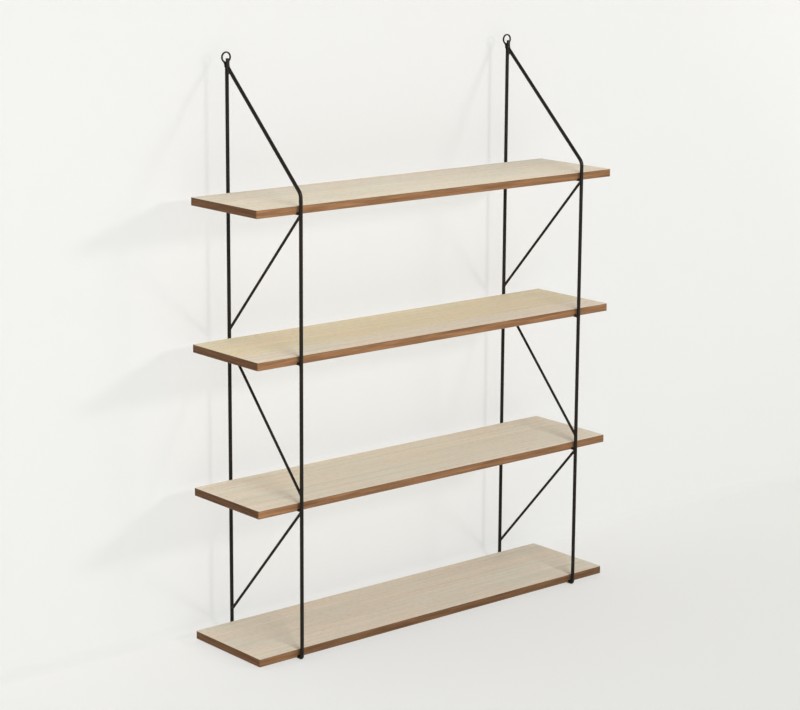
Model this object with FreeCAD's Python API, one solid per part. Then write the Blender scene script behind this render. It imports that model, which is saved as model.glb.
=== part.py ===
import FreeCAD, Part
import math
import os

# Shelving unit: four veneered boards carried by two side frames of bent round steel bar.
# X runs along the boards, Y from the front towards the wall, Z upwards. The origin is on the
# floor under the middle of the unit. All lengths are millimetres and all angles degrees.

# Boards: a core between two veneers, with a lipping along each of its four edges.
board_length = 1000.0
board_depth = 230.0
core_thickness = 16.0
veneer_thickness = 0.5
lipping_width = 2.0
arris_width = 0.4

# Round bar of the frames: a thick bar for the outline, a thinner one for what crosses it.
rod_radius = 4.0
brace_radius = 3.0

# Spacing of the boards, top face to top face, and of the frames. The uprights stand clear of
# the boards' long edges.
upper_pitch = 312.0
lowest_pitch = 320.0
frame_inset = 103.0
edge_gap = 6.5

# Grooves across the underside of a board, which drop over the rods and keep it in place.
groove_depth = 4.0
groove_clearance = 0.3

# Main rod: its upper end slants back from the front upright to the hanging eye.
front_bend_rise = 25.0
front_bend_radius = 22.0
top_bend_drop = 20.0
top_bend_radius = 12.0
stub_end_drop = 2.0
upright_end_drop = 27.0
elbow_radius = 5.0

# Diagonals, which are all alike: their slope, and how far below the axis of the cross rod
# the axis of a diagonal meets that of the upright.
diagonal_angle = 48.1
diagonal_drop = 0.5

# Hanging eye: a flat ring whose tail is let into the back of the upright's top end.
eye_height = 1248.0
eye_hole_radius = 9.0
eye_rim_width = 3.0
eye_thickness = 3.0
eye_flare_radius = 14.0
eye_edge_width = 0.5
eye_tail_length = 14.0

# Values that follow from the ones above.
board_thickness = core_thickness + 2 * veneer_thickness
half_length = board_length / 2
half_depth = board_depth / 2
inner_x = half_length - lipping_width
inner_y = half_depth - lipping_width
frame_x = half_length - frame_inset
upright_face = half_depth + edge_gap
upright_y = upright_face + rod_radius
lowest_base = 2 * rod_radius - groove_depth
board_bases = {
    "bottom": lowest_base,
    "lower": lowest_base + lowest_pitch,
    "upper": lowest_base + lowest_pitch + upper_pitch,
    "top": lowest_base + lowest_pitch + 2 * upper_pitch,
}
front_bend_height = board_bases["top"] + board_thickness + front_bend_rise
eye_outer_radius = eye_hole_radius + eye_rim_width
eye_face_y = upright_y + rod_radius - eye_thickness
eye_back_y = eye_face_y + eye_thickness
stub_y = eye_face_y - rod_radius
upright_end = eye_height - upright_end_drop
tail_end = upright_end - eye_tail_length


def point(x, y, z):
    return FreeCAD.Vector(x, y, z)


def box_between(low, high):
    """A box with its sides along the axes, from its lowest corner to its highest."""
    size = high - low
    return Part.makeBox(size.x, size.y, size.z, low)


def straight_run(start, end, bar_radius):
    """A straight length of round bar."""
    run = end - start
    return Part.makeCylinder(bar_radius, run.Length, start, run)


def bent_bar(corners, bend_radii, bar_radius):
    """A round bar that runs straight from corner to corner and is bent to an arc at each."""
    lengths = []
    run_start = corners[0]
    for before, corner, after, bend_radius in zip(corners, corners[1:], corners[2:], bend_radii):
        back = (before - corner).normalize()
        ahead = (after - corner).normalize()
        half_angle = back.getAngle(ahead) / 2
        tangent_length = bend_radius / math.tan(half_angle)
        bend_start = corner + back * tangent_length
        bend_centre = corner + (back + ahead).normalize() * bend_radius / math.sin(half_angle)
        turn = 180 - 2 * math.degrees(half_angle)
        section = Part.Face(Part.Wire(Part.makeCircle(bar_radius, bend_start, back)))
        lengths.append(straight_run(run_start, bend_start, bar_radius))
        lengths.append(section.revolve(bend_centre, ahead.cross(back), turn))
        run_start = corner + ahead * tangent_length
    lengths.append(straight_run(run_start, corners[-1], bar_radius))
    return lengths[0].fuse(lengths[1:])


def main_rod(x):
    """One bar bent round the whole frame: stub, slant, front upright, foot, back upright."""
    corners = [
        point(x, stub_y, eye_height - stub_end_drop),
        point(x, stub_y, eye_height - top_bend_drop),
        point(x, -upright_y, front_bend_height),
        point(x, -upright_y, rod_radius),
        point(x, upright_y, rod_radius),
        point(x, upright_y, upright_end),
    ]
    bend_radii = [top_bend_radius, front_bend_radius, elbow_radius, elbow_radius]
    return bent_bar(corners, bend_radii, rod_radius).cut(tail_seat(x, upright_end))


def tail_seat(x, top):
    """The space behind the eye's face, from the end of its tail up to the given height."""
    return box_between(
        point(x - rod_radius, eye_face_y, tail_end),
        point(x + rod_radius, eye_back_y, top),
    )


def cross_rod_height(board):
    """The axis of the cross rod under a board, which lies on it with the roof of its groove."""
    return board_bases[board] + groove_depth - brace_radius


def uprights(x):
    """The front and back uprights of a frame as plain round bars, to cope other bars with."""
    return [
        straight_run(point(x, y, 0), point(x, y, upright_end), rod_radius)
        for y in (-upright_y, upright_y)
    ]


def cross_rod(x, board):
    """The bar under a board, coped at both ends to fit round the uprights."""
    height = cross_rod_height(board)
    bar = straight_run(point(x, -upright_y, height), point(x, upright_y, height), brace_radius)
    return bar.cut(uprights(x))


def diagonal(x, board, high_side):
    """The bar that crosses the bay under a board, from one upright down to the other.

    It starts at the front upright where high_side is -1 and at the back one where it is 1.
    Both ends are coped to the uprights, and the upper one also fits under the cross rod.
    """
    top = cross_rod_height(board) - diagonal_drop
    foot = top - 2 * upright_y * math.tan(math.radians(diagonal_angle))
    bar = straight_run(
        point(x, high_side * upright_y, top), point(x, -high_side * upright_y, foot), brace_radius
    )
    return bar.cut([*uprights(x), cross_rod(x, board)])


def eye_outline(x):
    """The closed outline of the eye: a ring that flares into a neck with a rounded end."""
    neck_half_width = math.sqrt(rod_radius**2 - (eye_face_y - upright_y) ** 2)
    flare_x = neck_half_width + eye_flare_radius
    flare_z = -math.sqrt((eye_outer_radius + eye_flare_radius) ** 2 - flare_x**2)
    on_ring = eye_outer_radius / (eye_outer_radius + eye_flare_radius)
    towards_ring = math.atan2(-flare_z, -flare_x)
    middle_angle = (towards_ring + math.pi) / 2

    def place(side, across, rise):
        return point(x + side * across, eye_face_y, eye_height + rise)

    def flare_middle(side):
        across = flare_x + eye_flare_radius * math.cos(middle_angle)
        return place(side, across, flare_z + eye_flare_radius * math.sin(middle_angle))

    ring_left = place(-1, flare_x * on_ring, flare_z * on_ring)
    ring_right = place(1, flare_x * on_ring, flare_z * on_ring)
    neck_left = place(-1, neck_half_width, flare_z)
    neck_right = place(1, neck_half_width, flare_z)
    neck_end = place(1, 0, flare_z - neck_half_width)
    arcs = [
        Part.Arc(ring_left, place(1, 0, eye_outer_radius), ring_right),
        Part.Arc(ring_right, flare_middle(1), neck_right),
        Part.Arc(neck_right, neck_end, neck_left),
        Part.Arc(neck_left, flare_middle(-1), ring_left),
    ]
    return Part.Wire([arc.toShape() for arc in arcs])


def hanging_eye(x):
    """A flat ring with softened edges, and a tail shaped like the back of the upright."""
    plate = Part.Face(eye_outline(x)).extrude(point(0, eye_thickness, 0))
    rim = [edge for edge in plate.Edges if edge.BoundBox.YLength < eye_edge_width]
    plate = plate.makeChamfer(eye_edge_width, rim)
    ring_foot = eye_height - eye_outer_radius
    bar_end = straight_run(point(x, upright_y, tail_end), point(x, upright_y, ring_foot), rod_radius)
    tail = bar_end.common(tail_seat(x, ring_foot))
    hole = Part.makeCylinder(
        eye_hole_radius, eye_thickness, point(x, eye_face_y, eye_height), point(0, 1, 0)
    )
    return plate.fuse(tail).removeSplitter().cut(hole)


def board_blank(base):
    """The outside of a whole board, with every arris taken off."""
    low = point(-half_length, -half_depth, base)
    blank = box_between(low, point(half_length, half_depth, base + board_thickness))
    return blank.makeChamfer(arris_width, blank.Edges)


def groove(x, base, bar_radius):
    """The cutter of one groove: a slot across the board, open through its underside."""
    half_width = bar_radius + groove_clearance
    return box_between(
        point(x - half_width, -board_depth, base - groove_depth),
        point(x + half_width, board_depth, base + groove_depth),
    )


def grooved_blank(base, bar_radius):
    """The outside of a board with its two grooves, one over each frame."""
    return board_blank(base).cut([groove(side * frame_x, base, bar_radius) for side in (-1, 1)])


def veneer(blank, base):
    """One veneer: the whole face of the board, from the given height up."""
    low = point(-half_length, -half_depth, base)
    return blank.common(box_between(low, point(half_length, half_depth, base + veneer_thickness)))


def core(blank, base):
    """The core: what lies inside the four lippings, from the given height up."""
    low = point(-inner_x, -inner_y, base)
    return blank.common(box_between(low, point(inner_x, inner_y, base + core_thickness)))


def long_lipping(blank, base, side):
    """The strip along the front edge (side -1) or the back edge (side 1), over its full length."""
    low_y = min(side * inner_y, side * half_depth)
    low = point(-half_length, low_y, base)
    high = point(half_length, low_y + lipping_width, base + core_thickness)
    return blank.common(box_between(low, high))


def end_lipping(blank, base, side):
    """The strip across the left end (side -1) or the right end (side 1), between the long ones."""
    low_x = min(side * inner_x, side * half_length)
    low = point(low_x, -inner_y, base)
    high = point(low_x + lipping_width, inner_y, base + core_thickness)
    return blank.common(box_between(low, high))


def board_pieces(name, base, bar_radius):
    """The separate pieces of one board, cut from its blank, by node name."""
    blank = grooved_blank(base, bar_radius)
    core_base = base + veneer_thickness
    return {
        f"{name}_board_top_veneer": veneer(blank, core_base + core_thickness),
        f"{name}_board_core": core(blank, core_base),
        f"{name}_board_front_lipping": long_lipping(blank, core_base, -1),
        f"{name}_board_back_lipping": long_lipping(blank, core_base, 1),
        f"{name}_board_left_lipping": end_lipping(blank, core_base, -1),
        f"{name}_board_right_lipping": end_lipping(blank, core_base, 1),
        f"{name}_board_underside_veneer": veneer(blank, base),
    }


def frame_pieces(name, x):
    """The separate pieces of one side frame, by node name.

    The diagonal of the middle bay leans the other way from those above and below it.
    """
    pieces = {
        f"{name}_frame_main_rod": main_rod(x),
        f"{name}_frame_hanging_eye": hanging_eye(x),
    }
    for board, high_side in (("top", -1), ("upper", 1), ("lower", -1)):
        pieces[f"{name}_frame_{board}_cross_rod"] = cross_rod(x, board)
        pieces[f"{name}_frame_{board}_diagonal"] = diagonal(x, board, high_side)
    return pieces


nodes = {}
for board, base in board_bases.items():
    nodes.update(board_pieces(board, base, rod_radius if board == "bottom" else brace_radius))
for frame, x in (("left", -frame_x), ("right", frame_x)):
    nodes.update(frame_pieces(frame, x))

os.makedirs("parts", exist_ok=True)
for node, shape in nodes.items():
    shape.exportStep(f"parts/{node}.step")
    print(node, len(shape.Solids), "solids", shape.isValid(), round(shape.Volume))
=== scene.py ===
# %% [markdown]
# # Four oak boards in two bent-rod frames
#
# The shelving stands against a wall and ends in two steel eyes, by which it can be hung. Each
# side frame is one long 8 mm bar, bent four times, with thinner bars welded across it. Four
# veneered boards lie on the frames: three on cross bars and the lowest on the feet.
#
# It could be modelled by eye round a few guide planes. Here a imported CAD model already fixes
# every size, so it is loaded first and each piece takes its place from it. Lengths in this
# lesson are written in millimetres and turned into Blender's metres with `MM`.

import math

import bmesh
import bpy
from mathutils import Matrix, Vector


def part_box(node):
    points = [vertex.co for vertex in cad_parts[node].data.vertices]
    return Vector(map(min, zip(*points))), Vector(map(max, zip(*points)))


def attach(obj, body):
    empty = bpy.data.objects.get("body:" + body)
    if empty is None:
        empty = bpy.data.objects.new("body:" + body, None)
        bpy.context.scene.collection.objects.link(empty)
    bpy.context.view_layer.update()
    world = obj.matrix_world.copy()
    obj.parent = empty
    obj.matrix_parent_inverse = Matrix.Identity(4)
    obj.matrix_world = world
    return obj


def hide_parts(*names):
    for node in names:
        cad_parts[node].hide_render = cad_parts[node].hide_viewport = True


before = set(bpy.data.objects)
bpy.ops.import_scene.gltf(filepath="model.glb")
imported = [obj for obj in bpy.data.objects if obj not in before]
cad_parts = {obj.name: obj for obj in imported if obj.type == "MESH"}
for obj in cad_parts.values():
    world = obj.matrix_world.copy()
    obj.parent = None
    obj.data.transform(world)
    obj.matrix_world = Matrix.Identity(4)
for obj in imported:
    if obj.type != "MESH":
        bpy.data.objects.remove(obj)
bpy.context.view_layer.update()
scene = bpy.context.scene
MM = 0.001

# %% [markdown]
# ## The camera
#
# The unit is seen from the left and a little above, through a long lens from about five
# metres. A camera can be aimed with a Track To constraint, but a turn, a tilt and a roll
# multiplied together say the same thing in one line and can be changed one at a time.

# %% Place the camera
TURN, TILT, ROLL = -40.123, -11.585, 0.352
CAMERA_POSITION = (-3.1333, -3.6853, 1.6622)

camera_data = bpy.data.cameras.new("viewpoint")
camera_data.sensor_width = 36.0
camera_data.lens = 101.0
camera_data.shift_y = -0.05
camera = bpy.data.objects.new("viewpoint", camera_data)
scene.collection.objects.link(camera)
turn = Matrix.Rotation(math.radians(TURN), 4, "Z")
tilt = Matrix.Rotation(math.radians(90.0 + TILT), 4, "X")
roll = Matrix.Rotation(math.radians(ROLL), 4, "Z")
camera.matrix_world = Matrix.Translation(CAMERA_POSITION) @ turn @ tilt @ roll
scene.camera = camera
print("camera at", tuple(round(value, 3) for value in camera.location))

# %% [markdown]
# ## Small helpers for node recipes
#
# A material is a small graph of nodes. Writing each node and link in full hides the idea
# behind a lot of plumbing. So the nodes that are used often have short helpers, which add a
# node, feed its sockets and return its output. A socket can be fed with a plain value or with
# another node's output.

# %% Helpers that build a material
def empty_finish(name):
    """A material with no nodes yet, and its node tree."""
    finish = bpy.data.materials.new(name)
    finish.use_nodes = True
    finish.node_tree.nodes.clear()
    return finish, finish.node_tree


def new_finish(name):
    """A material with its node tree, and the shader that the unit's finishes end in."""
    finish, tree = empty_finish(name)
    shader = tree.nodes.new("ShaderNodeBsdfPrincipled")
    output = tree.nodes.new("ShaderNodeOutputMaterial")
    tree.links.new(shader.outputs["BSDF"], output.inputs["Surface"])
    return finish, tree, shader


def feed(tree, socket, source):
    """Gives a socket a value, or links it to another node's output."""
    if isinstance(source, bpy.types.NodeSocket):
        tree.links.new(source, socket)
    else:
        socket.default_value = source


def place(tree):
    """Where a point of the piece is, in metres: its Object coordinates."""
    return tree.nodes.new("ShaderNodeTexCoord").outputs["Object"]


def stretched(tree, scale, source=None):
    """Coordinates stretched for a pattern. The scales are repeats for each metre."""
    mapping = tree.nodes.new("ShaderNodeMapping")
    feed(tree, mapping.inputs["Vector"], source or place(tree))
    feed(tree, mapping.inputs["Scale"], scale)
    return mapping.outputs["Vector"]


def noise(tree, vector, detail=2.0, roughness=0.5):
    """The grey value of a noise pattern."""
    pattern = tree.nodes.new("ShaderNodeTexNoise")
    feed(tree, pattern.inputs["Vector"], vector)
    feed(tree, pattern.inputs["Scale"], 1.0)
    feed(tree, pattern.inputs["Detail"], detail)
    feed(tree, pattern.inputs["Roughness"], roughness)
    return pattern.outputs["Fac"]


def parts_of(tree, vector):
    """The X, Y and Z of a vector, each an output of its own."""
    split = tree.nodes.new("ShaderNodeSeparateXYZ")
    feed(tree, split.inputs["Vector"], vector)
    return split.outputs


def reckoned(tree, operation, *values):
    """One or two values put through a Math node."""
    node = tree.nodes.new("ShaderNodeMath")
    node.operation = operation
    for socket, value in zip(node.inputs, values):
        feed(tree, socket, value)
    return node.outputs["Value"]


def facing(tree, kind):
    """The way that the surface faces. The true normal ignores smooth shading."""
    return tree.nodes.new("ShaderNodeNewGeometry").outputs[kind]


def between(tree, value, low, high, to_low=0.0, to_high=1.0):
    """Spreads the part of a value from low to high over a new range, and clamps the rest."""
    spread = tree.nodes.new("ShaderNodeMapRange")
    feed(tree, spread.inputs["Value"], value)
    feed(tree, spread.inputs["From Min"], low)
    feed(tree, spread.inputs["From Max"], high)
    feed(tree, spread.inputs["To Min"], to_low)
    feed(tree, spread.inputs["To Max"], to_high)
    return spread.outputs["Result"]


def blend(tree, factor, first, second, mode="MIX"):
    """Two colours mixed by a factor. The Mix node keeps its colour sockets at 6 and 7."""
    mix = tree.nodes.new("ShaderNodeMix")
    mix.data_type = "RGBA"
    mix.blend_type = mode
    feed(tree, mix.inputs[0], factor)
    feed(tree, mix.inputs[6], first)
    feed(tree, mix.inputs[7], second)
    return mix.outputs[2]


def tinted(tree, tone, tint):
    """A tone multiplied by a tint."""
    return blend(tree, 1.0, tone, tint, "MULTIPLY")


def colour(red, green, blue, level=1.0):
    """A colour with its alpha, brighter or darker by a level."""
    return (red * level, green * level, blue * level, 1.0)


WHITE = colour(1.0, 1.0, 1.0)


def relief(tree, height, depth, strength):
    """A bump from a grey value. The depth is in metres."""
    bump = tree.nodes.new("ShaderNodeBump")
    feed(tree, bump.inputs["Height"], height)
    feed(tree, bump.inputs["Distance"], depth)
    feed(tree, bump.inputs["Strength"], strength)
    return bump.outputs["Normal"]


print("helpers ready")

# %% [markdown]
# ## Black lacquered steel
#
# The frames are dipped in a black satin lacquer. It isn't a pure black: it is a warm very dark
# grey, a little uneven, with a fine orange-peel skin that breaks up the highlight. A plain
# dark colour would look like a drawn line, so the tone, the gloss and the skin each follow a
# noise pattern of their own size.

# %% Mix the lacquer
def black_lacquer():
    """Warm black satin lacquer on steel."""
    finish, tree, shader = new_finish("black_lacquered_steel")
    handling = noise(tree, stretched(tree, (30.0, 30.0, 12.0)), detail=5.0, roughness=0.65)
    skin = noise(tree, stretched(tree, (900.0, 900.0, 700.0)), detail=2.0)
    worn = between(tree, handling, 0.56, 0.70)
    tone = blend(tree, worn, colour(0.0088, 0.0060, 0.0036), colour(0.019, 0.0130, 0.0080))
    feed(tree, shader.inputs["Base Color"], tone)
    feed(tree, shader.inputs["Roughness"], between(tree, handling, 0.35, 0.65, 0.34, 0.50))
    feed(tree, shader.inputs["Specular IOR Level"], 0.21)
    feed(tree, shader.inputs["Normal"], relief(tree, skin, 0.02 * MM, 0.15))
    return finish


LACQUER = black_lacquer()
print("made", LACQUER.name)

# %% [markdown]
# ## Oak veneer
#
# Each board is faced with thin sliced oak, pale and greyish, with straight grain along the
# board. Two leaves of veneer lie side by side, and on some boards one is yellower than the
# other. A Wave texture gives grain that is too regular. Noise stretched along the board gives
# lines that come and go: one layer for the broad figure, one for the fine lines and one for
# the short dark pores. A slow noise makes the lines wander a little. The rounded arrises, which
# are cut through the thin veneer, are stained brown.

# %% Slice the oak
SEAM_HALF_WIDTH = 0.2 * MM
WANDER = 6.0 * MM


def oak_veneer(board, front_tone, back_tone, seam_y):
    """Oak in two leaves that meet on the line seam_y, each with its own tone."""
    finish, tree, shader = new_finish(f"oak_veneer_{board}")
    here = place(tree)
    across = parts_of(tree, here)["Y"]
    leaf = between(tree, across, seam_y - SEAM_HALF_WIDTH, seam_y + SEAM_HALF_WIDTH)

    wander = tree.nodes.new("ShaderNodeCombineXYZ")
    drift = noise(tree, stretched(tree, (2.2, 9.0, 6.0)), detail=1.0)
    feed(tree, wander.inputs["Y"], between(tree, drift, 0.2, 0.8, -WANDER, WANDER))
    feed(tree, wander.inputs["X"], leaf)
    moved = tree.nodes.new("ShaderNodeVectorMath")
    feed(tree, moved.inputs[0], here)
    feed(tree, moved.inputs[1], wander.outputs["Vector"])
    grain = moved.outputs["Vector"]

    figure = noise(tree, stretched(tree, (1.1, 85.0, 6.0), grain), detail=4.0, roughness=0.6)
    lines = noise(tree, stretched(tree, (8.0, 640.0, 6.0), grain), detail=5.0, roughness=0.68)
    pores = noise(tree, stretched(tree, (75.0, 1900.0, 6.0), grain), detail=0.0)
    mottle = noise(tree, stretched(tree, (5.0, 16.0, 6.0)), detail=3.0)

    broad = between(tree, figure, 0.30, 0.70)
    tone = blend(tree, leaf, blend(tree, broad, *front_tone), blend(tree, broad, *back_tone))
    warmth = between(tree, mottle, 0.35, 0.65)
    warmth = blend(tree, warmth, colour(1.03, 0.99, 0.96), colour(0.98, 1.01, 1.0))
    tone = tinted(tree, tone, warmth)
    fine = between(tree, lines, 0.32, 0.68)
    fine = blend(tree, fine, colour(0.90, 0.89, 0.87), colour(1.05, 1.05, 1.06))
    tone = tinted(tree, tone, fine)
    tone = blend(tree, between(tree, pores, 0.62, 0.70, 0.0, 0.42), tone, colour(0.25, 0.19, 0.13))
    flatness = reckoned(tree, "ABSOLUTE", parts_of(tree, facing(tree, "True Normal"))["Z"])
    on_arris = between(tree, flatness, 0.80, 0.60, 0.0, 0.85)
    tone = blend(tree, on_arris, tone, colour(0.16, 0.082, 0.045))
    feed(tree, shader.inputs["Base Color"], tone)
    feed(tree, shader.inputs["Roughness"], between(tree, lines, 0.3, 0.7, 0.74, 0.60))
    feed(tree, shader.inputs["Specular IOR Level"], 0.14)
    filled = between(tree, pores, 0.72, 0.55)
    feed(tree, shader.inputs["Normal"], relief(tree, filled, 0.06 * MM, 0.5))
    return finish


def tones(red, green, blue):
    """The darker and the lighter tone of one leaf."""
    return colour(red, green, blue, 0.90), colour(red, green, blue, 1.06)


# Painted shade: the bottom board's tones are set lower than the other boards'.
OAK = {
    "bottom": oak_veneer("bottom", tones(0.628, 0.566, 0.484), tones(0.630, 0.562, 0.476), 0.015),
    "lower": oak_veneer("lower", tones(0.655, 0.600, 0.512), tones(0.670, 0.610, 0.514), -0.010),
    "upper": oak_veneer("upper", tones(0.680, 0.612, 0.516), tones(0.690, 0.602, 0.447), -0.045),
    "top": oak_veneer("top", tones(0.665, 0.604, 0.502), tones(0.668, 0.607, 0.514), 0.020),
}
print("made", sorted(finish.name for finish in OAK.values()))

# %% [markdown]
# ## Brown lipping
#
# Thin strips of a darker, warm brown wood hide the edges of the boards. Their grain runs along
# each strip, so the strips at the ends need the pattern turned by a quarter. Dark lines along
# the top and bottom of each strip are the glue line where it meets the veneers, together with
# painted shade of the rounded arrises. Each strip has a level of its own, which is painted shade
# set to the light that falls on it, so the end strips are mostly darker than the long ones. The
# long ones are painted lighter where they reach past the left frame, as painted light.

# %% Plane the lippings
# The glue line together with painted shade along the strips' top and bottom arrises.
GLUE_AND_SHADE = colour(0.10, 0.048, 0.028)
LEFT_END = (-370.0 * MM, -430.0 * MM)
DARK_AND_LIGHT = {
    "x": ((0.154, 0.079, 0.039), (0.284, 0.154, 0.076)),
    "y": ((0.162, 0.074, 0.033), (0.298, 0.144, 0.064)),
}


def brown_lipping(board, run, level, left_light):
    """Warm brown wood with its grain along X or Y, at a level of painted shade, painted lighter on
    the left.
    """
    finish, tree, shader = new_finish(f"brown_lipping_{board}_{run}")
    fine_scale = (12.0, 520.0, 520.0) if run == "x" else (520.0, 12.0, 520.0)
    slow_scale = (9.0, 60.0, 190.0) if run == "x" else (60.0, 9.0, 190.0)
    streak = noise(tree, stretched(tree, slow_scale), detail=4.0, roughness=0.62)
    lines = noise(tree, stretched(tree, fine_scale), detail=3.0, roughness=0.65)
    dark, light = (colour(*tone, level) for tone in DARK_AND_LIGHT[run])
    tone = blend(tree, between(tree, streak, 0.33, 0.67), dark, light)
    fine = between(tree, lines, 0.30, 0.70)
    fine = blend(tree, fine, colour(0.70, 0.66, 0.62), colour(1.18, 1.16, 1.12))
    tone = tinted(tree, tone, fine)
    low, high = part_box(f"{board}_board_front_lipping")
    along, _, height = parts_of(tree, place(tree))
    # Painted light: the long strips are made lighter past the left frame.
    near_left = between(tree, along, *LEFT_END)
    tone = blend(tree, near_left, tone, colour(1.0, 1.0, 1.0, left_light), "MULTIPLY")
    # Painted shade: dark lines along the top and bottom arrises, with the glue line.
    upper_line = between(tree, height, high.z - 1.4 * MM, high.z, 0.0, 0.55)
    lower_line = between(tree, height, low.z + 1.8 * MM, low.z, 0.0, 0.65)
    tone = blend(tree, upper_line, tone, GLUE_AND_SHADE)
    tone = blend(tree, lower_line, tone, GLUE_AND_SHADE)
    feed(tree, shader.inputs["Base Color"], tone)
    feed(tree, shader.inputs["Roughness"], between(tree, lines, 0.3, 0.7, 0.56, 0.42))
    feed(tree, shader.inputs["Specular IOR Level"], 0.12)
    feed(tree, shader.inputs["Normal"], relief(tree, lines, 0.05 * MM, 0.4))
    return finish


BOARDS = ("bottom", "lower", "upper", "top")
# Painted shade: each strip's level is set to the light that falls on it, so the end strips are
# mostly darker than the long ones.
LIPPING_SHADE_LEVEL = {
    ("bottom", "x"): 0.68, ("lower", "x"): 0.96, ("upper", "x"): 1.06, ("top", "x"): 1.00,
    ("bottom", "y"): 0.75, ("lower", "y"): 0.54, ("upper", "y"): 0.59, ("top", "y"): 0.64,
}
# Painted light: how much lighter each board's long strips are made past the left frame.
LEFT_PAINTED_LIGHT = {"bottom": 1.38, "lower": 1.18, "upper": 1.04, "top": 1.02}
LIPPING = {
    (board, run): brown_lipping(board, run, level, LEFT_PAINTED_LIGHT[board] if run == "x" else 1.0)
    for (board, run), level in LIPPING_SHADE_LEVEL.items()
}
print("made", len(LIPPING), "lipping finishes")

# %% [markdown]
# ## Chipboard
#
# Under the veneers is pressed chipboard, which shows only inside the grooves on the underside.
# Its flakes are flat cells of slightly different browns, which is what a Voronoi texture
# draws.

# %% Press the chipboard
def chipboard():
    """Flakes of pale wood pressed into a board."""
    finish, tree, shader = new_finish("chipboard")
    flakes = tree.nodes.new("ShaderNodeTexVoronoi")
    feed(tree, flakes.inputs["Vector"], stretched(tree, (260.0, 420.0, 700.0)))
    feed(tree, flakes.inputs["Scale"], 1.0)
    grey = tree.nodes.new("ShaderNodeRGBToBW")
    feed(tree, grey.inputs["Color"], flakes.outputs["Color"])
    tone = blend(tree, grey.outputs["Val"], colour(0.30, 0.19, 0.10), colour(0.56, 0.42, 0.26))
    feed(tree, shader.inputs["Base Color"], tone)
    feed(tree, shader.inputs["Roughness"], 0.85)
    feed(tree, shader.inputs["Normal"], relief(tree, grey.outputs["Val"], 0.2 * MM, 0.6))
    return finish


CHIPBOARD = chipboard()
print("made", CHIPBOARD.name)

# %% [markdown]
# ## Turning a bmesh into a piece
#
# Each piece is shaped in a bmesh, which keeps edges and faces ready for the modelling
# operators. When its shape is done it is written to a mesh and told what carries it, and the
# CAD node that it stands for is hidden. Its place stays in its points, so the object itself is
# neither moved nor turned. Edges sharper than 30 degrees stay crisp and the rest is shaded smooth.
#
# Points are compared with a small slack, because sums of lengths are never quite exact.

# %% Helpers that finish a piece
PLANE_SLACK = 0.0001 * MM
POINT_SLACK = 0.001 * MM
SHAPE_SLACK = 0.01 * MM
SHARP_ANGLE = math.radians(30.0)
RIM_SOFTNESS = 0.4 * MM
UP = Vector((0.0, 0.0, 1.0))
TO_WALL = Vector((0.0, 1.0, 0.0))


def set_in_scene(bm, name, finish):
    """Writes a bmesh to a new object with one finish."""
    mesh = bpy.data.meshes.new(name)
    bm.to_mesh(mesh)
    bm.free()
    mesh.shade_smooth()
    mesh.materials.append(finish)
    thing = bpy.data.objects.new(name, mesh)
    scene.collection.objects.link(thing)
    return thing


def finish_piece(bm, name, node, finish):
    """Writes a bmesh to a piece of the unit, which stands for a CAD node if one is given."""
    bmesh.ops.remove_doubles(bm, verts=bm.verts, dist=POINT_SLACK)
    bmesh.ops.recalc_face_normals(bm, faces=bm.faces)
    piece = set_in_scene(bm, name, finish)
    piece.data.set_sharp_from_angle(angle=SHARP_ANGLE)
    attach(piece, "root")
    if node:
        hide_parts(node)
    return piece


def frame_piece(bm, side, part, has_node=True):
    """Finishes a lacquered piece of one frame. Weld metal has no CAD node to stand for."""
    node = f"{side}_frame_{part}" if has_node else None
    return finish_piece(bm, f"{side}_{part}", node, LACQUER)


def verts_of(geometry):
    """The points among the elements that an operator returns."""
    return [item for item in geometry if isinstance(item, bmesh.types.BMVert)]


def edges_of(geometry):
    """The edges among the elements that an operator returns."""
    return [item for item in geometry if isinstance(item, bmesh.types.BMEdge)]


def ends_of(edges):
    """The end points of some edges, each once. A set would give them in any order."""
    return list(dict.fromkeys(vert for edge in edges for vert in edge.verts))


def soften(bm, edges, radius, segments):
    """Rounds a set of edges."""
    bmesh.ops.bevel(
        bm, geom=edges, offset=radius, offset_type="OFFSET", segments=segments, profile=0.5,
        affect="EDGES", material=-1,
    )


def cut(bm, where, normal, geometry=None, **options):
    """Cuts a bmesh, or a part of it, with a plane and returns what the cut made."""
    made = bmesh.ops.bisect_plane(
        bm, geom=geometry or [*bm.verts, *bm.edges, *bm.faces], dist=PLANE_SLACK,
        plane_co=where, plane_no=normal, **options,
    )
    return made["geom_cut"]


print("piece helpers ready")

# %% [markdown]
# ## The boards: one blank, then slices
#
# A board is a core, two veneers and four lippings, glued up and then rounded a little along
# its arrises. Modelling seven loose boxes would leave seven sets of corners to match. Instead
# the whole board is made once as a blank, with its grooves and its rounded arrises, and each
# piece is sliced out of a copy with planes that are read from the CAD piece's own box.
#
# The blank starts as a slab that stops at the roof of the grooves. Its underside is cut along
# the grooves' sides, and the strips between them are extruded down, which leaves the grooves
# standing open.

# %% Make a board's blank
ARRIS = 0.4 * MM
CORNER = 3.0 * MM
GROOVE_DEPTH = 4.0 * MM
GROOVE_CLEARANCE = 0.3 * MM
ROD_RADIUS = 4.0 * MM
BRACE_RADIUS = 3.0 * MM


def frame_centre(side):
    """Where a frame stands along the boards."""
    low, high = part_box(f"{side}_frame_main_rod")
    return (low.x + high.x) / 2


FRAME_X = {side: frame_centre(side) for side in ("left", "right")}


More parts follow.
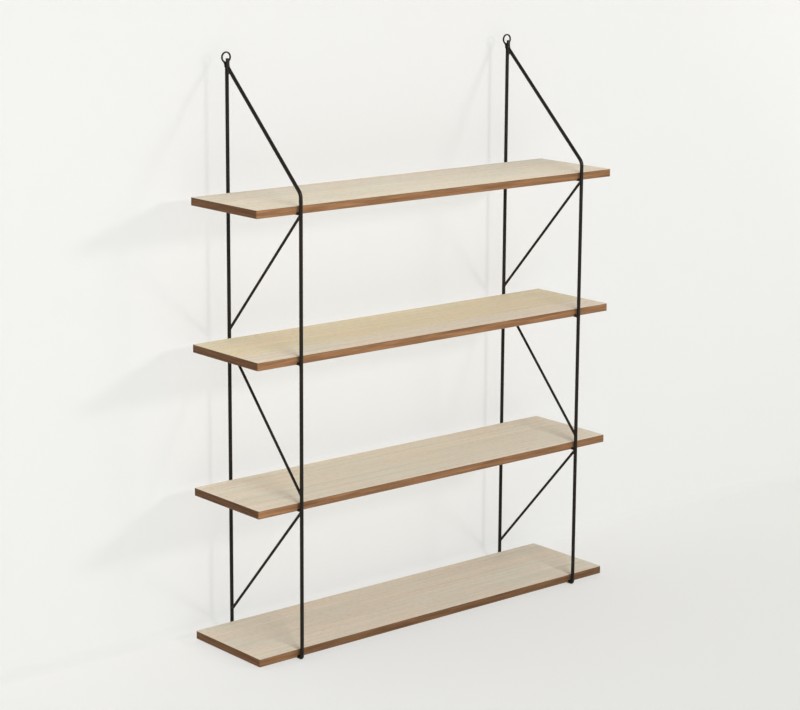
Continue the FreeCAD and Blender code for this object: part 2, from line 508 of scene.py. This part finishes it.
def board_blank(board):
    """The outside of one board: grooved, with rounded arrises."""
    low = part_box(f"{board}_board_underside_veneer")[0]
    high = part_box(f"{board}_board_top_veneer")[1]
    roof = low.z + GROOVE_DEPTH
    half_width = (ROD_RADIUS if board == "bottom" else BRACE_RADIUS) + GROOVE_CLEARANCE
    bm = bmesh.new()
    bmesh.ops.create_cube(bm, size=1.0)
    bmesh.ops.scale(bm, vec=(high.x - low.x, high.y - low.y, high.z - roof), verts=bm.verts)
    middle = ((low.x + high.x) / 2, (low.y + high.y) / 2, (roof + high.z) / 2)
    bmesh.ops.translate(bm, vec=middle, verts=bm.verts)
    for x in FRAME_X.values():
        for side in (-1, 1):
            cut(bm, (x + side * half_width, 0.0, 0.0), (1.0, 0.0, 0.0))
    strips = [
        face
        for face in bm.faces
        if face.normal.z < -0.5
        and all(abs(face.calc_center_median().x - x) > half_width for x in FRAME_X.values())
    ]
    lowered = bmesh.ops.extrude_face_region(bm, geom=strips)["geom"]
    bmesh.ops.translate(bm, vec=(0.0, 0.0, -GROOVE_DEPTH), verts=verts_of(lowered))
    bmesh.ops.dissolve_limit(bm, angle_limit=0.01, verts=bm.verts, edges=bm.edges)
    corners = [edge for edge in outer_arrises(bm, low, high) if is_upright(edge)]
    soften(bm, corners, CORNER, 6)
    soften(bm, [edge for edge in bm.edges if on_rim(edge, low, high)], ARRIS, 3)
    return bm


def is_upright(edge):
    """Whether an edge stands upright, as at a board's corners."""
    run = edge.verts[0].co - edge.verts[1].co
    return abs(run.z) > 0.9 * run.length


def on_rim(edge, low, high):
    """Whether an edge goes round the outside of the top or the underside."""
    inner = [vert for vert in edge.verts if low.x + CORNER < vert.co.x < high.x - CORNER]
    level = any(
        all(abs(vert.co.z - z) < POINT_SLACK for vert in edge.verts) for z in (low.z, high.z)
    )
    across = edge.verts[0].co - edge.verts[1].co
    groove_side = len(inner) == 2 and abs(across.y) > 0.9 * across.length
    return level and not groove_side


def outer_arrises(bm, low, high):
    """The edges that lie on two outer faces of the blank at once."""
    def on_faces(vert):
        return {
            (axis, limit[axis])
            for axis in range(3)
            for limit in (low, high)
            if abs(vert.co[axis] - limit[axis]) < POINT_SLACK
        }

    return [
        edge for edge in bm.edges if len(on_faces(edge.verts[0]) & on_faces(edge.verts[1])) == 2
    ]


blank = board_blank("top")
print("blank:", len(blank.faces), "faces,", len(blank.edges), "edges")
blank.free()

# %% [markdown]
# ## Slicing the boards
#
# A slice keeps what lies inside the CAD piece's box. A plane cuts the blank on each side where
# the box lies inside it, the far side is cleared away, and the cut is closed with a new face.

# %% Slice every board
def sliced(board, part):
    """One piece of a board, cut from the blank by its CAD box."""
    bm = board_blank(board)
    whole_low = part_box(f"{board}_board_underside_veneer")[0]
    whole_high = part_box(f"{board}_board_top_veneer")[1]
    low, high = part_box(f"{board}_board_{part}")
    for axis in range(3):
        for limit, whole, side in ((low, whole_low, -1), (high, whole_high, 1)):
            if abs(limit[axis] - whole[axis]) > SHAPE_SLACK:
                normal = Vector((0.0, 0.0, 0.0))
                normal[axis] = side
                edges = edges_of(cut(bm, limit, normal, clear_outer=True))
                bmesh.ops.edgeloop_fill(bm, edges=edges)
    return bm


def board_finish(board, part):
    """The finish and a slot name for one piece of a board."""
    if "veneer" in part:
        return OAK[board], "oak_veneer"
    if "lipping" in part:
        return LIPPING[board, "y" if part.startswith(("left", "right")) else "x"], "brown_lipping"
    return CHIPBOARD, "chipboard"


BOARD_PARTS = (
    "top_veneer", "core", "front_lipping", "back_lipping", "left_lipping", "right_lipping",
    "underside_veneer",
)
for board in BOARDS:
    for part in BOARD_PARTS:
        finish, slot = board_finish(board, part)
        node = f"{board}_board_{part}"
        finish_piece(sliced(board, part), f"{board}_{part}", node, finish)
    core_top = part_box(f"{board}_board_core")[1].z
    print(board, "board cut into", len(BOARD_PARTS), "pieces, its core ends at", round(core_top, 4))

# %% [markdown]
# ## Drawing a bar out along its corners
#
# A round bar is one ring of edges drawn along a path. A curve with a bevel depth would do it
# too, but its straight runs and bends are easier to hold to exact sizes with mesh operators.
# A straight run extrudes the last ring and moves it on. A bend spins the ring about the
# bend's centre, just as a tube bender turns the bar round a former.

# %% Helpers that draw a bar
BAR_SIDES = 32
BEND_STEP = 4.0


def ring(bm, centre, heading, radius):
    """A ring of edges, square to the way that the bar is heading."""
    turned = heading.to_track_quat("Z", "X").to_matrix().to_4x4()
    made = bmesh.ops.create_circle(
        bm, segments=BAR_SIDES, radius=radius, matrix=Matrix.Translation(centre) @ turned
    )
    return list(dict.fromkeys(edge for vert in made["verts"] for edge in vert.link_edges))


def run_on(bm, edges, step):
    """Draws a ring out along a straight line and returns the ring at its end."""
    made = bmesh.ops.extrude_edge_only(bm, edges=edges)["geom"]
    verts = verts_of(made)
    bmesh.ops.translate(bm, vec=step, verts=verts)
    return [edge for edge in edges_of(made) if set(edge.verts) <= set(verts)]


def bend_on(bm, edges, centre, axis, angle):
    """Spins a ring round a bend and returns the ring at its end."""
    steps = max(2, round(math.degrees(angle) / BEND_STEP))
    return edges_of(spun(bm, ends_of(edges) + edges, centre, axis, angle, steps))


def spun(bm, geometry, centre, axis, angle, steps):
    """Spins points and edges about an axis and returns their last copies."""
    return bmesh.ops.spin(
        bm, geom=geometry, cent=centre, axis=axis, angle=angle, steps=steps, use_duplicate=False
    )["geom_last"]


def arc(bm, vert, centre, axis, angle, steps):
    """Draws an arc from a point and returns the point at its end."""
    return verts_of(spun(bm, [vert], centre, axis, angle, steps))[0]


def draw_bar(bm, corners, bend_radii, radius):
    """A bar that runs straight from corner to corner. Returns its first and last rings."""
    first = ring(bm, corners[0], (corners[1] - corners[0]).normalized(), radius)
    edges, start = first, corners[0]
    for before, corner, after, bend_radius in zip(corners, corners[1:], corners[2:], bend_radii):
        back = (before - corner).normalized()
        ahead = (after - corner).normalized()
        half_angle = back.angle(ahead) / 2
        tangent = bend_radius / math.tan(half_angle)
        bend_start = corner + back * tangent
        centre = corner + (back + ahead).normalized() * bend_radius / math.sin(half_angle)
        edges = run_on(bm, edges, bend_start - start)
        edges = bend_on(bm, edges, centre, ahead.cross(back), math.pi - 2 * half_angle)
        start = corner + ahead * tangent
    return first, run_on(bm, edges, corners[-1] - start)


print("bars have", BAR_SIDES, "sides")

# %% [markdown]
# ## The main rods
#
# One bar goes round the whole frame: a short stub in front of the eye, a slant down to the
# front upright, the foot under the lowest board and the back upright. The top of the back
# upright is cut away to half its thickness, and the tail of the eye lies in that seat.
#
# The seat could be a Boolean, which tends to leave slivers on thin parts. Here the bar simply
# stops where the seat begins. Its end face is split along the seat, and the front part is
# extruded on to the bar's real end.

# %% Bend the main rods
UPRIGHT_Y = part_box("left_frame_main_rod")[1].y - ROD_RADIUS
EYE_THICKNESS = 3.0 * MM
EYE_FACE_Y = UPRIGHT_Y + ROD_RADIUS - EYE_THICKNESS
EYE_HEIGHT = 1248.0 * MM
STUB_END = EYE_HEIGHT - 2.0 * MM
TOP_BEND_HEIGHT = EYE_HEIGHT - 20.0 * MM
UPRIGHT_END = EYE_HEIGHT - 27.0 * MM
TAIL_END = UPRIGHT_END - 14.0 * MM
FRONT_BEND_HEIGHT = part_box("top_board_top_veneer")[1].z + 25.0 * MM
STUB_Y = EYE_FACE_Y - ROD_RADIUS
MAIN_BEND_RADII = [12.0 * MM, 22.0 * MM, 5.0 * MM, 5.0 * MM]


def main_rod(side):
    """The bent bar of one frame, with the seat for the eye's tail."""
    x = FRAME_X[side]
    corners = [
        Vector((x, STUB_Y, STUB_END)),
        Vector((x, STUB_Y, TOP_BEND_HEIGHT)),
        Vector((x, -UPRIGHT_Y, FRONT_BEND_HEIGHT)),
        Vector((x, -UPRIGHT_Y, ROD_RADIUS)),
        Vector((x, UPRIGHT_Y, ROD_RADIUS)),
        Vector((x, UPRIGHT_Y, TAIL_END)),
    ]
    bm = bmesh.new()
    first, last = draw_bar(bm, corners, MAIN_BEND_RADII, ROD_RADIUS)
    bmesh.ops.edgeloop_fill(bm, edges=first)
    soften(bm, first, RIM_SOFTNESS, 2)
    end_face = bmesh.ops.edgeloop_fill(bm, edges=last)["faces"]
    rim = list(end_face[0].edges) + list(end_face[0].verts)
    cut(bm, (x, EYE_FACE_Y, 0.0), TO_WALL, end_face + rim)
    front = [
        face
        for face in bm.faces
        if abs(face.calc_center_median().z - TAIL_END) < SHAPE_SLACK
        and face.normal.z > 0.9
        and face.calc_center_median().y < EYE_FACE_Y
    ]
    raised = bmesh.ops.extrude_face_region(bm, geom=front)["geom"]
    bmesh.ops.translate(bm, vec=(0.0, 0.0, UPRIGHT_END - TAIL_END), verts=verts_of(raised))
    return bm


for side in FRAME_X:
    rod = frame_piece(main_rod(side), side, "main_rod")
    print(rod.name, "has", len(rod.data.polygons), "faces")

# %% [markdown]
# ## The cross rods and diagonals
#
# A thinner bar runs under each board and another crosses each bay. Their ends are hollowed to
# fit round the uprights. A ring of edges can be moved point by point onto the upright's
# surface, which gives the same hollow as a file would and keeps the bar's sides straight.

# %% Cope and set the thinner bars
DIAGONAL_SLOPE = math.radians(48.1)
DIAGONAL_DROP = 0.5 * MM


def upright_face(vert, x):
    """How far from the middle the inner side of an upright lies, level with a point."""
    return UPRIGHT_Y - math.sqrt(ROD_RADIUS**2 - (vert.co.x - x) ** 2)


def cope(edges, along, x):
    """Slides the points of a ring along the bar until they lie on the upright's surface."""
    for vert in ends_of(edges):
        outward = math.copysign(1.0, vert.co.y)
        vert.co += along * ((outward * upright_face(vert, x) - vert.co.y) / along.y)


def thin_bar(x, start, end):
    """A straight bar from one upright to the other, coped at both ends."""
    bm = bmesh.new()
    along = (end - start).normalized()
    first = ring(bm, start, along, BRACE_RADIUS)
    last = run_on(bm, first, end - start)
    for edges in (first, last):
        cope(edges, along, x)
        bmesh.ops.edgeloop_fill(bm, edges=edges)
    return bm


def cross_height(board):
    """The axis of the cross rod under a board."""
    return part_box(f"{board}_board_underside_veneer")[0].z + GROOVE_DEPTH - BRACE_RADIUS


def diagonal_ends(x, board, high_side):
    """Where the axis of a diagonal meets the axes of the uprights."""
    top = cross_height(board) - DIAGONAL_DROP
    fall = 2 * UPRIGHT_Y * math.tan(DIAGONAL_SLOPE)
    return Vector((x, high_side * UPRIGHT_Y, top)), Vector((x, -high_side * UPRIGHT_Y, top - fall))


HIGH_SIDE = {"lower": -1, "upper": 1, "top": -1}
for side, x in FRAME_X.items():
    for board, high_side in HIGH_SIDE.items():
        height = cross_height(board)
        bm = thin_bar(x, Vector((x, -UPRIGHT_Y, height)), Vector((x, UPRIGHT_Y, height)))
        frame_piece(bm, side, f"{board}_cross_rod")
        bm = thin_bar(x, *diagonal_ends(x, board, high_side))
        frame_piece(bm, side, f"{board}_diagonal")
    print(side, "frame: three cross rods and three diagonals")

# %% [markdown]
# ## Weld fillets
#
# Where a thin bar meets an upright, weld metal fills the corner all round and swells the
# upright for a few millimetres. Bevelling the true line where two bars meet is fragile, because
# a Boolean leaves uneven faces there. So each fillet is a collar of its own: a ring on the thin
# bar is drawn back to the upright, spread out over the upright's surface, and the crease
# between the two is bevelled into a hollow curve. Each collar is closed inside the bars.
#
# The narrow notch where the slant leaves the upright is welded full as well. Its filling is a
# flat web, whose lower edge is an arc that touches both bars. The arc is spun round its
# centre, closed inside the bars, made as thick as the web and softened along its rims.

# %% Lay the fillets
FILLET_REACH = 10.0 * MM
FILLET_SPREAD = 4.2 * MM
FILLET_WIDENING = 1.2
FILLET_HOLLOW = 3.0 * MM
COLLAR_FIT = 1.01
BURIED = 1.5 * MM
BELOW_SURFACE = 0.05 * MM
WEB_WIDTH = 4.8 * MM
WEB_TOP = 7.5 * MM
WEB_RADIUS = 4.8 * MM
WEB_PROUD = 0.2 * MM
WEB_SOFTNESS = 1.2 * MM


def hug(verts, x, outward):
    """Moves points straight onto the side of the upright that faces into the frame."""
    for vert in verts:
        vert.co.y = outward * (upright_face(vert, x) + BELOW_SURFACE)


def fillet(bm, x, joint, along):
    """A collar of weld round the end of a thin bar. The joint lies on the upright's axis."""
    outward = math.copysign(1.0, joint.y)
    start = joint + along * FILLET_REACH / abs(along.y)
    bar_edges = ring(bm, start, along, BRACE_RADIUS * COLLAR_FIT)
    crease = run_on(bm, bar_edges, -along * ROD_RADIUS * 0.5)
    cope(crease, along, x)
    foot = run_on(bm, crease, Vector((0.0, 0.0, 0.0)))
    foot_verts = ends_of(foot)
    middle = sum((vert.co for vert in foot_verts), Vector()) / len(foot_verts)
    tall = max(abs(vert.co.z - middle.z) for vert in foot_verts)
    bmesh.ops.scale(
        bm, vec=(FILLET_WIDENING, 1.0, 1.0 + FILLET_SPREAD / tall), verts=foot_verts,
        space=Matrix.Translation(-middle),
    )
    hug(foot_verts, x, outward)
    buried = run_on(bm, foot, Vector((0.0, outward * BURIED, 0.0)))
    bmesh.ops.edgeloop_fill(bm, edges=buried)
    bmesh.ops.edgeloop_fill(bm, edges=bar_edges)
    soften(bm, crease, FILLET_HOLLOW, 5)


def notch_web(bm, x):
    """The weld that fills the notch between the slant and the upright with a hollow curve."""
    slant = Vector((0.0, -UPRIGHT_Y - STUB_Y, FRONT_BEND_HEIGHT - TOP_BEND_HEIGHT)).normalized()
    half_angle = slant.angle(-UP) / 2
    middle = (slant - UP).normalized()
    corner = Vector((x - WEB_WIDTH / 2, STUB_Y, TOP_BEND_HEIGHT))
    corner -= slant * ((UPRIGHT_Y - STUB_Y) / abs(slant.y))
    centre = corner + middle * (WEB_RADIUS + ROD_RADIUS) / math.sin(half_angle)
    touch = (WEB_RADIUS + ROD_RADIUS) / math.tan(half_angle)
    arc_radius = WEB_RADIUS - WEB_PROUD
    start = bm.verts.new(centre + (corner - UP * touch - centre).normalized() * arc_radius)
    end = arc(bm, start, centre, slant.cross(-UP), math.pi - 2 * half_angle, 10)
    in_slant = bm.verts.new(corner + slant * touch)
    top = bm.verts.new(corner + middle * WEB_TOP)
    in_upright = bm.verts.new(corner - UP * touch)
    for pair in ((end, in_slant), (in_slant, top), (top, in_upright), (in_upright, start)):
        bm.edges.new(pair)
    outline = [edge for edge in bm.edges if not edge.link_faces]
    side = bmesh.ops.edgeloop_fill(bm, edges=outline)["faces"]
    thick = bmesh.ops.extrude_face_region(bm, geom=side)["geom"]
    bmesh.ops.translate(bm, vec=(WEB_WIDTH, 0.0, 0.0), verts=verts_of(thick))
    rims = [
        edge
        for edge in bm.edges
        if len(edge.link_faces) == 2
        and {len(face.verts) > 4 for face in edge.link_faces} == {True, False}
        and all(
            abs((vert.co - centre).yz.length - arc_radius) < SHAPE_SLACK for vert in edge.verts
        )
    ]
    soften(bm, rims, WEB_SOFTNESS, 3)


for side, x in FRAME_X.items():
    bm = bmesh.new()
    for board, high_side in HIGH_SIDE.items():
        height = cross_height(board)
        for end in (-1, 1):
            fillet(bm, x, Vector((x, end * UPRIGHT_Y, height)), Vector((0.0, -end, 0.0)))
        upper, lower = diagonal_ends(x, board, high_side)
        fillet(bm, x, upper, (lower - upper).normalized())
        fillet(bm, x, lower, (upper - lower).normalized())
    welds = frame_piece(bm, side, "weld_fillets", has_node=False)
    bm = bmesh.new()
    notch_web(bm, x)
    web = frame_piece(bm, side, "notch_weld", has_node=False)
    for piece in (welds, web):
        print(piece.name, "has", len(piece.data.polygons), "faces")

# %% [markdown]
# ## The hanging eyes
#
# Each frame ends in a flat eye: a ring that flares into a neck, cut from 3 mm plate. The
# outline is four arcs. A point spun about a centre draws an arc, so the outline needs no list
# of points. A filler closes it round the hole, the face is extruded to the plate's thickness
# and the rims are rounded as a tumbled part would be.

# %% Stamp the eyes
EYE_HOLE_RADIUS = 9.0 * MM
EYE_OUTER_RADIUS = 12.0 * MM
EYE_FLARE_RADIUS = 14.0 * MM


def hanging_eye(side):
    """The flat eye of one frame and its half-round tail."""
    x = FRAME_X[side]
    neck = math.sqrt(ROD_RADIUS**2 - (EYE_FACE_Y - UPRIGHT_Y) ** 2)
    flare_x = neck + EYE_FLARE_RADIUS
    flare_z = math.sqrt((EYE_OUTER_RADIUS + EYE_FLARE_RADIUS) ** 2 - flare_x**2)
    lean = math.atan2(flare_z, flare_x)
    centre = Vector((x, EYE_FACE_Y, EYE_HEIGHT))
    bm = bmesh.new()
    on_ring = Vector((math.cos(lean), 0.0, -math.sin(lean))) * EYE_OUTER_RADIUS
    start = bm.verts.new(centre + on_ring)
    ring_left = arc(bm, start, centre, TO_WALL, -(math.pi + 2 * lean), 40)
    flare_left = centre + Vector((-flare_x, 0.0, -flare_z))
    neck_left = arc(bm, ring_left, flare_left, TO_WALL, lean, 8)
    neck_middle = centre + Vector((0.0, 0.0, -flare_z))
    neck_right = arc(bm, neck_left, neck_middle, TO_WALL, -math.pi, 16)
    flare_right = centre + Vector((flare_x, 0.0, -flare_z))
    arc(bm, neck_right, flare_right, TO_WALL, lean, 8)
    bmesh.ops.remove_doubles(bm, verts=bm.verts, dist=SHAPE_SLACK)
    stood_up = Matrix.Translation(centre) @ Matrix.Rotation(math.radians(-90.0), 4, "X")
    bmesh.ops.create_circle(bm, segments=48, radius=EYE_HOLE_RADIUS, matrix=stood_up)
    bmesh.ops.triangle_fill(bm, edges=bm.edges, use_beauty=True)
    thick = bmesh.ops.extrude_face_region(bm, geom=list(bm.faces))["geom"]
    bmesh.ops.translate(bm, vec=(0.0, EYE_THICKNESS, 0.0), verts=verts_of(thick))
    bmesh.ops.recalc_face_normals(bm, faces=bm.faces)
    rims = [edge for edge in bm.edges if len(edge.link_faces) == 2 and edge.calc_face_angle() > 1.0]
    soften(bm, rims, RIM_SOFTNESS, 2)
    add_tail(bm, x)
    return bm


def add_tail(bm, x):
    """The back part of a round bar, from the end of the tail up behind the ring's foot."""
    edges = ring(bm, Vector((x, UPRIGHT_Y, TAIL_END)), UP, ROD_RADIUS)
    top = EYE_HEIGHT - EYE_OUTER_RADIUS - TAIL_END
    ends = cut(bm, (x, EYE_FACE_Y, 0.0), TO_WALL, ends_of(edges) + edges, clear_inner=True)
    bmesh.ops.contextual_create(bm, geom=verts_of(ends))
    rim = [edge for edge in bm.edges if not edge.link_faces]
    face = bmesh.ops.edgeloop_fill(bm, edges=rim)["faces"]
    raised = bmesh.ops.extrude_face_region(bm, geom=face)["geom"]
    bmesh.ops.translate(bm, vec=(0.0, 0.0, top), verts=verts_of(raised))


for side in FRAME_X:
    eye = frame_piece(hanging_eye(side), side, "hanging_eye")
    print(eye.name, "has", len(eye.data.polygons), "faces")

# %% [markdown]
# ## Floor and wall
#
# The unit stands against a pale wall on a floor of the same tone. One sheet serves for both:
# an edge drawn along the floor, spun through a quarter turn and drawn up the wall. Seen from
# behind, the wall would hide everything, so the back of the sheet is see-through.
#
# One sheet can't do two jobs at once. The boards need the light that a pale wall and floor
# throw back at them, but a sheet lit that strongly would burn out behind them. So the sheet is
# hung twice. The camera sees a dull one, whose glow lifts it to nearly white while the shadows
# on it stay faint. That glow reaches only the camera and reflections, never the boards. A
# millimetre behind it hangs a pale one that no camera sees, and that one throws the light back.
#
# The glow is a little weaker to the right and towards the front, where the studio is darker,
# and a little stronger in the cove, which faces away from the light of wall and floor.

# %% Roll out the backdrop
WALL_Y = 160.0 * MM
COVE_RADIUS = 28.0 * MM
FLOOR_REACH = 9.0
WALL_REACH = 6.0
PALE_PAINT = colour(0.80, 0.795, 0.77)
DULL_PAINT = colour(0.40, 0.397, 0.385)
# The glow at the foot of the wall and high up, and that of the floor by the wall and nearer.
WALL_GLOW = (colour(0.583, 0.590, 0.585), colour(0.645, 0.648, 0.638))
FLOOR_GLOW = (colour(0.590, 0.593, 0.583), colour(0.560, 0.563, 0.551))
COVE_GLOW = colour(0.024, 0.024, 0.023)


def backdrop_sheet(behind):
    """Floor, cove and wall in one sheet, set back from the true floor and wall by a distance."""
    bm = bmesh.new()
    left = bm.verts.new((-FLOOR_REACH, -FLOOR_REACH, -behind))
    right = bm.verts.new((FLOOR_REACH, -FLOOR_REACH, -behind))
    edge = [bm.edges.new((left, right))]
    edge = run_on(bm, edge, Vector((0.0, WALL_Y - COVE_RADIUS + FLOOR_REACH, 0.0)))
    run_on(bm, edge, Vector((0.0, FLOOR_REACH, 0.0)))
    cove_centre = (0.0, WALL_Y - COVE_RADIUS, COVE_RADIUS)
    foot = edge + list(edge[0].verts)
    last = spun(bm, foot, cove_centre, (1.0, 0.0, 0.0), math.radians(90.0), 24)
    run_on(bm, edges_of(last), Vector((0.0, 0.0, WALL_REACH)))
    bm.normal_update()
    # The floor runs on behind the wall, so the cove and wall are turned apart from the floor.
    for upright in (True, False):
        sheet = [face for face in bm.faces if (face.normal.y ** 2 > 0.0001) == upright]
        if sum(face.normal.y if upright else -face.normal.z for face in sheet) > 0.0:
            bmesh.ops.reverse_faces(bm, faces=sheet)
    return bm


def open_behind(tree, front):
    """Makes a sheet see-through from behind, where it would hide the unit."""
    see_through = tree.nodes.new("ShaderNodeBsdfTransparent")
    side = tree.nodes.new("ShaderNodeNewGeometry")
    sheet = tree.nodes.new("ShaderNodeMixShader")
    output = tree.nodes.new("ShaderNodeOutputMaterial")
    feed(tree, sheet.inputs[0], side.outputs["Backfacing"])
    feed(tree, sheet.inputs[1], front)
    feed(tree, sheet.inputs[2], see_through.outputs["BSDF"])
    feed(tree, output.inputs["Surface"], sheet.outputs["Shader"])


def bounce_finish():
    """Plain pale paint."""
    finish, tree = empty_finish("bounce_paint")
    paint = tree.nodes.new("ShaderNodeBsdfDiffuse")
    feed(tree, paint.inputs["Color"], PALE_PAINT)
    open_behind(tree, paint.outputs["BSDF"])
    return finish


def backdrop_finish():
    """Pale paint that shows the shadows, and a glow for the camera and for reflections."""
    finish, tree = empty_finish("backdrop")
    along, depth, height = parts_of(tree, place(tree))
    on_wall = between(tree, height, 0.0, 5.0 * MM)
    rise = between(tree, height, 0.0, 1.2)
    towards_right = between(tree, along, -0.9, 0.9)
    nearer = between(tree, depth, 0.1, -0.9)
    floor_tone = blend(tree, nearer, *FLOOR_GLOW)
    tone = blend(tree, on_wall, floor_tone, blend(tree, rise, *WALL_GLOW))
    tone = tinted(tree, tone, blend(tree, towards_right, WHITE, colour(0.905, 0.905, 0.905)))
    _, forward, upward = parts_of(tree, facing(tree, "Normal"))
    in_cove = between(tree, reckoned(tree, "MULTIPLY", forward, upward), 0.0, -0.5)
    tone = blend(tree, in_cove, tone, COVE_GLOW, "ADD")
    distance = tree.nodes.new("ShaderNodeVectorMath")
    distance.operation = "LENGTH"
    feed(tree, distance.inputs[0], place(tree))
    far = between(tree, distance.outputs["Value"], 1.6, 4.0)
    glow = tree.nodes.new("ShaderNodeEmission")
    feed(tree, glow.inputs["Color"], blend(tree, far, tone, PALE_PAINT))
    path = tree.nodes.new("ShaderNodeLightPath")
    seen = reckoned(
        tree, "MAXIMUM", path.outputs["Is Camera Ray"], path.outputs["Is Glossy Ray"]
    )
    feed(tree, glow.inputs["Strength"], seen)
    paint = tree.nodes.new("ShaderNodeBsdfDiffuse")
    feed(tree, paint.inputs["Color"], DULL_PAINT)
    front = tree.nodes.new("ShaderNodeAddShader")
    feed(tree, front.inputs[0], paint.outputs["BSDF"])
    feed(tree, front.inputs[1], glow.outputs["Emission"])
    open_behind(tree, front.outputs["Shader"])
    return finish


def set_sheet(name, finish, behind):
    """Hangs one copy of the sheet on the stage."""
    sheet = set_in_scene(backdrop_sheet(behind), name, finish)
    return sheet


backdrop = set_sheet("backdrop", backdrop_finish(), 0.0)
backdrop.visible_diffuse = False
backdrop.visible_shadow = False
bounce = set_sheet("bounce", bounce_finish(), 1.0 * MM)
bounce.visible_camera = False
bounce.visible_glossy = False
bounce.visible_shadow = False
print("sheets:", backdrop.name, bounce.name)

# %% [markdown]
# ## Light
#
# The main lamp is a large soft box in front of the unit and well above it, so the tops come out
# bright and the left ends, which it only grazes, darker. A small weak lamp far to the right
# draws the thin highlights on the round bars. A pale sky fills the shadows, and the camera sees
# a flat near-white where it looks out of the scene.
#
# Light linking says which things a lamp lights. The soft box skips the sheet that the camera
# sees, because it would wash out the shadows there. A third lamp lights only that sheet, and
# throws the soft shadows of the boards and bars to the left.

# %% Set the lights
LAMP_TARGET = Vector((0.0, 0.0, 0.55))
LAMP_TINT = (1.0, 0.985, 0.96)
FILL_STRENGTH = 0.262


def area_lamp(name, position, size, power):
    """A square soft lamp aimed at the middle of the unit."""
    data = bpy.data.lights.new(name, "AREA")
    data.shape = "SQUARE"
    data.size = size
    data.energy = power
    data.color = LAMP_TINT
    lamp = bpy.data.objects.new(name, data)
    scene.collection.objects.link(lamp)
    lamp.location = position
    lamp.rotation_euler = (LAMP_TARGET - Vector(position)).to_track_quat("-Z", "Y").to_euler()
    return lamp


softbox = area_lamp("softbox", (-1.0, -3.7, 2.8), 2.0, 198.0)
off_the_backdrop = bpy.data.collections.new("off_the_backdrop")
off_the_backdrop.objects.link(backdrop)
off_the_backdrop.collection_objects[0].light_linking.link_state = "EXCLUDE"
softbox.light_linking.receiver_collection = off_the_backdrop
side_lamp = area_lamp("side_lamp", (3.3, -3.8, 2.1), 0.45, 24.0)
wall_lamp = area_lamp("wall_lamp", (2.8, -3.8, 2.1), 0.45, 44.0)
only_the_backdrop = bpy.data.collections.new("only_the_backdrop")
only_the_backdrop.objects.link(backdrop)
wall_lamp.light_linking.receiver_collection = only_the_backdrop

world = bpy.data.worlds.new("studio")
scene.world = world
world.use_nodes = True
tree = world.node_tree
tree.nodes.clear()
output = tree.nodes.new("ShaderNodeOutputWorld")
fill = tree.nodes.new("ShaderNodeBackground")
feed(tree, fill.inputs["Color"], WHITE)
feed(tree, fill.inputs["Strength"], FILL_STRENGTH)
beyond = tree.nodes.new("ShaderNodeBackground")
feed(tree, beyond.inputs["Color"], colour(0.86, 0.855, 0.83))
path = tree.nodes.new("ShaderNodeLightPath")
seen = tree.nodes.new("ShaderNodeMixShader")
feed(tree, seen.inputs[0], path.outputs["Is Camera Ray"])
feed(tree, seen.inputs[1], fill.outputs["Background"])
feed(tree, seen.inputs[2], beyond.outputs["Background"])
feed(tree, output.inputs["Surface"], seen.outputs["Shader"])
scene.view_settings.view_transform = "Standard"
print("lamp powers", [lamp.data.energy for lamp in (softbox, side_lamp, wall_lamp)], "W")
